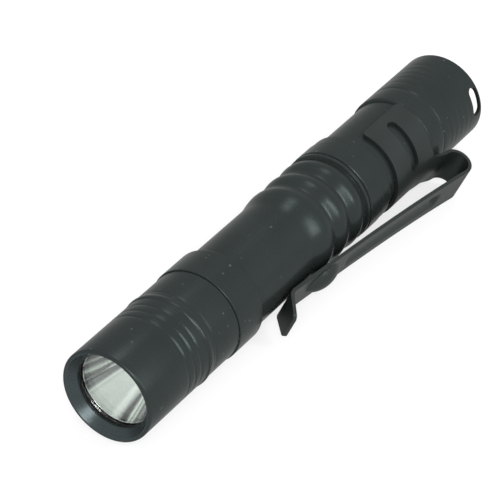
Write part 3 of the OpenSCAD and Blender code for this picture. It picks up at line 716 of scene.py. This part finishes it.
def lanyard_cutter():
    """A block with round ends that cuts the lanyard slot out of the cup's wall."""
    half_w = (LANYARD[1] - LANYARD[0]) / 2
    mid = (LANYARD[0] + LANYARD[1]) / 2
    end = half_w / BARREL_R
    reach = LANYARD_SWEEP / 2 - end
    rim = []
    for side in (1, -1):
        for i in range(LANYARD_END_STEPS + 1):
            a = math.radians(-90 + 180 * i / LANYARD_END_STEPS)
            rim.append((side * (reach + end * math.cos(a)), mid + side * half_w * math.sin(a)))
        for i in range(1, LANYARD_SIDE_STEPS):
            rim.append((side * reach * (1 - 2 * i / LANYARD_SIDE_STEPS), mid + side * half_w))
    points = []
    for r in (CUP_R - LANYARD_OVER, BARREL_R + LANYARD_OVER):
        for turn, x in rim:
            a = LANYARD_TURN + turn
            points.append((x, r * math.cos(a), r * math.sin(a)))
    n = len(rim)
    faces = [tuple(range(n)), tuple(range(n, 2 * n))]
    faces += [(i, (i + 1) % n, n + (i + 1) % n, n + i) for i in range(n)]
    return shape("lanyard_cutter", points, faces)


def applied(piece):
    """The piece's mesh with its modifiers worked in."""
    bpy.context.view_layer.update()
    seen = piece.evaluated_get(bpy.context.evaluated_depsgraph_get())
    mesh = bpy.data.meshes.new_from_object(seen)
    old = piece.data
    piece.modifiers.clear()
    piece.data = mesh
    bpy.data.meshes.remove(old)


def coil(name, rear, front, turns, wire):
    """A coil of round wire with closed ends."""
    rings, sides = turns * COIL_STEPS, WIRE_SIDES
    points = []
    for i in range(rings + 1):
        u = i / rings
        a = 2 * math.pi * turns * u
        r = rear[0] + (front[0] - rear[0]) * u
        x = rear[1] + (front[1] - rear[1]) * u
        for j in range(sides):
            b = 2 * math.pi * j / sides
            out = r + wire * math.cos(b)
            points.append((x + wire * math.sin(b), out * math.cos(a), out * math.sin(a)))
    faces = [tuple(range(sides)), tuple(range(rings * sides, (rings + 1) * sides))]
    for i in range(rings):
        for j in range(sides):
            k = (j + 1) % sides
            p = i * sides
            faces.append((p + j, p + k, p + sides + k, p + sides + j))
    return shape(name, points, faces)


def smooth(value, low, high):
    """0 below low, 1 above high and an eased rise between them."""
    t = min(1, max(0, (value - low) / (high - low)))
    return t * t * (3 - 2 * t)


def clip_place(rho, x, s):
    """A point of the clip: away from the axis in its plane, along the light, across the strip."""
    c, n = math.cos(CLIP_TURN), math.sin(CLIP_TURN)
    return (x, rho * c + s * n, s * c - rho * n)


def strip_columns():
    """Places across the strip, close together where it is pressed."""
    return [-s for s in STRIP_PLACES[::-1]] + [0.0] + list(STRIP_PLACES)


def band_columns():
    """Angles round the band, the strip's own columns in the middle, close together at the window's ends."""
    strip = [math.degrees(math.asin(s / BAND_MID_R)) for s in strip_columns()]
    rear_end, front_end = WINDOW[0] - WINDOW_END, WINDOW[1] + WINDOW_END
    side = [rear_end + e for e in WINDOW_END_PLACES]
    side += [WINDOW[0] + (WINDOW[1] - WINDOW[0]) * i / WINDOW_STEPS for i in range(1, WINDOW_STEPS)]
    side += [front_end - e for e in WINDOW_END_PLACES[::-1]]
    corner = math.degrees(BAND_CORNER / BAND_MID_R)
    solid = BAND_REACH - corner - front_end
    side += [front_end + solid * i / BAND_END_STEPS for i in range(1, BAND_END_STEPS + 1)]
    side += [BAND_REACH - corner * e for e in BAND_CORNER_SHARES]
    return [-a for a in side[::-1]] + strip + side


def window_half(angle):
    """Half the height of the band's window at an angle."""
    past = max(WINDOW[0] - angle, angle - WINDOW[1], 0) / WINDOW_END
    return WINDOW_HALF * math.sqrt(max(0, 1 - past ** 2))


def leg_rho(x):
    """How far the clip's leg is from the axis."""
    return LEG_FOOT[0] + (LEG_FOOT[1] - x) * math.tan(LEG_SLOPE)


def band_point(angle, x):
    """A point of the band, lifted off the neck where the leg starts."""
    a = math.radians(angle)
    lift = smooth(LEG_FOOT[1] + LIFT_ROOM - x, 0, LIFT_RUN) * max(0, leg_rho(x) - BAND_MID_R)
    lift *= 1 - smooth(abs(angle), *LIFT_FADE)
    if abs(angle) > LIFT_REACH:
        return clip_place(BAND_MID_R * math.cos(a), x, BAND_MID_R * math.sin(a))
    s = BAND_MID_R * math.sin(a)
    return clip_place(math.sqrt((BAND_MID_R + lift) ** 2 - s ** 2), x, s)


def arm_line():
    """Rows along the strip from the band to the tip: (rho, x), half width, sag share, share of the arm."""
    rows = []
    leg_end = BEND_MID[1] - BEND_R * math.sin(LEG_SLOPE)
    for i in range(1, LEG_STEPS + 1):
        x = BAND[0] + (leg_end - BAND[0]) * i / LEG_STEPS
        rows.append(((leg_rho(x), x), STRIP_HALF, 1 - smooth(i / LEG_STEPS, 0, 1), -1))
    for i in range(1, BEND_STEPS + 1):
        a = math.pi + LEG_SLOPE + (math.pi + ARM_SLOPE - LEG_SLOPE) * i / BEND_STEPS
        at = (BEND_MID[0] + BEND_R * math.cos(a), BEND_MID[1] + BEND_R * math.sin(a))
        rows.append((at, STRIP_HALF, 0, -1))
    root, bow, fold, tip = (Vector(p) for p in (ARM_ROOT, ARM_BOW, ARM_FOLD, ARM_TIP))
    ahead = (fold - bow).normalized()
    up = (tip - fold).normalized()
    for i in range(1, ARM_STEPS + 1):
        u = i / ARM_STEPS
        at = (1 - u) ** 2 * root + 2 * u * (1 - u) * bow + u ** 2 * fold
        if (fold - at).length < FOLD_EASE:
            break
        half = STRIP_HALF + (FOLD_HALF - STRIP_HALF) * (at.y - root.y) / (fold.y - root.y)
        rows.append((tuple(at), half, 0, u))
    fold_from, fold_to = fold - ahead * FOLD_EASE, fold + up * FOLD_EASE
    for i in range(FOLD_STEPS + 1):
        u = i / FOLD_STEPS
        at = (1 - u) ** 2 * fold_from + 2 * u * (1 - u) * fold + u ** 2 * fold_to
        rows.append((tuple(at), flap_half(at, fold, tip), 0, -1))
    length = (tip - fold).length
    for i in range(1, FLAP_STEPS + 1):
        at = fold + up * (FOLD_EASE + (length - FLAP_CORNER - FOLD_EASE) * i / FLAP_STEPS)
        rows.append((tuple(at), flap_half(at, fold, tip), 0, -1))
    for share in FLAP_CORNER_SHARES:
        at = tip - up * FLAP_CORNER * share
        drop = FLAP_CORNER * (1 - math.sqrt(1 - (1 - share) ** 2))
        rows.append((tuple(at), flap_half(at, fold, tip) - drop, 0, -1))
    return rows


def flap_half(at, fold, tip):
    """Half the width of the flap, which narrows to its tip."""
    share = min(1, max(0, (at - fold).dot(tip - fold) / (tip - fold).length_squared))
    return FOLD_HALF + (FLAP_HALF - FOLD_HALF) * share


def trough(share):
    """Depth of a round trough across its half width: 1 in the middle, easing to 0 at the lip."""
    return math.cos(min(1, abs(share)) * math.pi / 2) ** TROUGH_SOFT


def pressed(u, s, length):
    """How far the arm's sheet is pressed out, or in where below 0."""
    if u < 0:
        return 0
    past = max(TROUGH_RUN[0] - u, u - TROUGH_RUN[1], 0) * length
    dent = -TROUGH_DEPTH * trough(math.hypot(s / TROUGH_HALF, past / TROUGH_END))
    hole = math.hypot((u - DIMPLE_AT) * length, s) / DIMPLE_R
    dent -= DIMPLE_DEPTH * trough(hole)
    along = 1 - ((u - BUMP_AT) * length / BUMP_HALF_LEN) ** 2
    if along <= 0 or abs(s) >= BUMP_HALF_W * along:
        return dent
    return dent + BUMP_H * along * (1 - (s / (BUMP_HALF_W * along)) ** 2) ** BUMP_SOFT


def clip_mesh():
    """The clip as one bent sheet: split band with its windows, leg, bend, bowed arm and flap."""
    columns = band_columns()
    middle = (BAND[0] + BAND[1]) / 2
    points, faces = [], []
    corner = math.degrees(BAND_CORNER / BAND_MID_R)
    for angle in columns:
        half = window_half(abs(angle))
        into = max(0, 1 - (BAND_REACH - abs(angle)) / corner)
        trim = BAND_CORNER * (1 - math.sqrt(max(0, 1 - into ** 2)))
        shares = [k / BAND_ROWS for k in range(BAND_ROWS + 1)]
        rows = [BAND[1] - trim + (middle + half - BAND[1] + trim) * u for u in shares]
        rows += [middle - half + (BAND[0] + trim - middle + half) * u for u in shares]
        points += [band_point(angle, x) for x in rows]
    tall = 2 * (BAND_ROWS + 1)
    for i in range(len(columns) - 1):
        for k in range(tall - 1):
            if k != BAND_ROWS:
                p = i * tall + k
                faces.append((p, p + 1, p + tall + 1, p + tall))
    strip = strip_columns()
    first = columns.index(math.degrees(math.asin(strip[0] / BAND_MID_R)))
    previous = [(first + j) * tall + tall - 1 for j in range(len(strip))]
    rows = arm_line()
    arm_length = (Vector(ARM_FOLD) - Vector(ARM_ROOT)).length
    for i, ((rho, x), half, sag, u) in enumerate(rows):
        before = Vector(rows[max(0, i - 1)][0])
        after = Vector(rows[min(len(rows) - 1, i + 1)][0])
        run = (after - before).normalized()
        out = Vector((run.y, -run.x))
        current = []
        for s0 in strip:
            s = s0 * half / STRIP_HALF
            drop = sag * (rho - math.sqrt(rho ** 2 - s ** 2))
            off = pressed(u, s, arm_length)
            current.append(len(points))
            points.append(clip_place(rho - drop + out.x * off, x + out.y * off, s))
        for j in range(len(strip) - 1):
            faces.append((previous[j], current[j], current[j + 1], previous[j + 1]))
        previous = current
    return shape("clip", points, faces)


def make_clip(finish):
    """The clip's sheet given its thickness and softened edges."""
    clip = named(clip_mesh(), "clip", finish)
    sheet = clip.modifiers.new("sheet", "SOLIDIFY")
    sheet.thickness = SHEET * MM
    sheet.offset = 0
    sheet.use_even_offset = True
    edge = clip.modifiers.new("edge", "BEVEL")
    edge.width = CLIP_EDGE * MM
    edge.segments = CLIP_EDGE_STEPS
    edge.limit_method = "ANGLE"
    edge.angle_limit = CLIP_EDGE_FROM
    edge.harden_normals = True
    applied(clip)
    return clip


def paint_solids(finishes):
    """Gives every solid that shows its slot's finish."""
    slots = {part["node"]: part["material_slot"] for part in frame["record"]["subparts"]}
    for node, solid in frame["nodes"].items():
        solid.data.materials.clear()
        solid.data.materials.append(finishes[slots[node]])


def place_camera():
    """The photograph's view."""
    lens = bpy.data.cameras.new("camera")
    lens.lens = VIEW_LENS
    lens.sensor_width = VIEW_SENSOR
    lens.clip_start = VIEW_NEAR
    camera = bpy.data.objects.new("camera", lens)
    camera.matrix_world = Matrix((VIEW_RIGHT, VIEW_UP, VIEW_BACK)).transposed().to_4x4()
    camera.location = VIEW_PLACE
    bpy.context.scene.collection.objects.link(camera)
    bpy.context.scene.camera = camera


def lamp(name, place, aim, size, watts):
    """A soft lamp, so wide and so tall, that faces a point."""
    light = bpy.data.lights.new(name, "AREA")
    light.shape = "RECTANGLE"
    light.size, light.size_y = size
    light.energy = watts
    held = bpy.data.objects.new(name, light)
    held.location = place
    held.rotation_euler = (Vector(aim) - Vector(place)).to_track_quat("-Z", "Y").to_euler()
    bpy.context.scene.collection.objects.link(held)


def seen_white(f):
    """1 for the rays that should meet plain white: the camera's, a gloss's and a glass's."""
    path = f.node("ShaderNodeLightPath", {}, {}, "Is Camera Ray")
    most = path.math("MAXIMUM", path, path.out("Is Glossy Ray"))
    return path.math("MAXIMUM", most, path.out("Is Transmission Ray"))


def studio():
    """White floor and surround with soft lamps above."""
    world = bpy.data.worlds.new("surround")
    bpy.context.scene.world = world
    w = Finish("surround", world)
    sky = w.node("ShaderNodeBackground", {}, {"Color": WHITE, "Strength": 1.0})
    w.show(sky, "ShaderNodeOutputWorld")
    f = Finish("white_floor")
    matt = f.node("ShaderNodeBsdfDiffuse", {}, {"Color": FLOOR_PALE})
    glow = f.node("ShaderNodeEmission", {}, {"Color": WHITE, "Strength": 1.0})
    white = f.show(f.node("ShaderNodeMixShader", {}, {0: seen_white(f) * FLOOR_GLOW, 1: matt, 2: glow}))
    under = cad_box[0][2]
    corners = [(x * FLOOR_HALF, y * FLOOR_HALF, under) for x, y in ((-1, -1), (1, -1), (1, 1), (-1, 1))]
    mesh = bpy.data.meshes.new("floor")
    mesh.from_pydata(corners, [], [(0, 1, 2, 3)])
    floor = named(mesh, "floor", white)
    for name, settings in LAMPS.items():
        lamp(name, *settings)


def make_tail(finish):
    """The tail cap, turned and then slotted for a lanyard."""
    tail = named(turned("tail", eased(tail_outline(), EASE_METAL)), "tail", finish)
    cutter = bpy.data.objects.new("lanyard_cutter", lanyard_cutter())
    bpy.context.scene.collection.objects.link(cutter)
    cut = tail.modifiers.new("lanyard_slot", "BOOLEAN")
    cut.object = cutter
    cut.operation = "DIFFERENCE"
    cut.solver = "EXACT"
    applied(tail)
    bpy.data.objects.remove(cutter)
    tail.data.set_sharp_from_angle(angle=SHARP)
    return tail


def build():
    """Finishes for all the solids, then the pieces that stand for some of them."""
    black = satin_anodised()
    steel = coated_steel()
    boot_rubber = rubber("boot_rubber", (0.012, 0.013, 0.013), (0.024, 0.026, 0.026), 0.5)
    seal_rubber = rubber("seal_rubber", (0.006, 0.006, 0.006), (0.014, 0.014, 0.014), 0.4)
    bowl = bright_bowl()
    spring = turned_metal("spring_wire", (0.62, 0.57, 0.46), 0.22, (600, 2600, 2600))
    paint_solids({
        "anodised": black,
        "clip_steel": steel,
        "boot_rubber": boot_rubber,
        "seal_rubber": seal_rubber,
        "lens_glass": clear_glass(),
        "reflector_bright": bowl,
        "led_ceramic": moulded("led_ceramic", (0.8, 0.79, 0.73), 0.4),
        "led_phosphor": phosphor_dome(),
        "white_plastic": moulded("white_plastic", (0.76, 0.75, 0.7), 0.42),
        "star_metal": moulded("white_mask", (0.78, 0.78, 0.75), 0.3),
        "pill_brass": turned_metal("turned_brass", (0.62, 0.44, 0.17), 0.26),
        "circuit_board": glass_fibre_board(),
        "chip_plastic": moulded("chip_plastic", (0.02, 0.02, 0.022), 0.5),
        "wire_plastic": moulded("wire_plastic", (0.5, 0.05, 0.04), 0.35),
        "cell_steel": turned_metal("cell_steel", (0.6, 0.61, 0.62), 0.24),
        "cell_film": moulded("cell_film", (0.06, 0.08, 0.1), 0.2),
        "cell_mass": moulded("cell_mass", (0.07, 0.07, 0.07), 0.75),
        "cell_plastic": moulded("cell_plastic", (0.42, 0.43, 0.44), 0.45),
        "washer_steel": turned_metal("stamped_steel", (0.52, 0.53, 0.54), 0.3, (900, 900, 900)),
        "spring_steel": spring,
    })
    head = named(turned("head", eased(head_outline(), EASE_METAL)), "head", black)
    dressed(head, "head", "anodised", "head_shell")
    tube = named(turned("tube", eased(tube_outline(), EASE_METAL)), "tube", black)
    dressed(tube, "tube", "anodised", "body_tube")
    tail = make_tail(black)
    dressed(tail, "tail", "anodised", "tail_cap")
    mirror = named(turned("bowl", eased(bowl_outline(), EASE_BOWL)), "bowl", bowl)
    dressed(mirror, "lens_pack", "reflector_bright", "reflector")
    for name, rear, node in (("front_seal_ring", SEAM_HEAD + RING_FROM_SEAM, "front_o_ring"),
                             ("rear_seal_ring", SEAM_TAIL - RING_FROM_SEAM - RING_W, "rear_o_ring")):
        ring = named(turned(name, seal_ring_outline(rear)), name, seal_rubber)
        dressed(ring, "tube", "seal_rubber", node)
    contact = named(coil("contact_coil", *CONTACT_COIL), "contact_coil", spring)
    dressed(contact, "tail", "spring_steel", "contact_spring")
    back = named(coil("return_coil", *RETURN_COIL), "return_coil", spring)
    dressed(back, "button", "spring_steel", "switch_spring")
    boot = named(turned("boot", eased(boot_outline(), EASE_RUBBER)), "boot", boot_rubber)
    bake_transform(boot)
    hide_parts("boot_flange", "switch_boot")
    clip = make_clip(steel)
    middle = Vector(clip_place(BEND_MID[0], BEND_MID[1], 0)) * MM
    across = Vector(clip_place(1, SPRING_RISE, 0)).normalized() * MM
    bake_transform(clip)
    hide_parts("clip_band", "clip_arm")


place_camera()
studio()
build()
bpy.context.scene.view_settings.view_transform = "Standard"
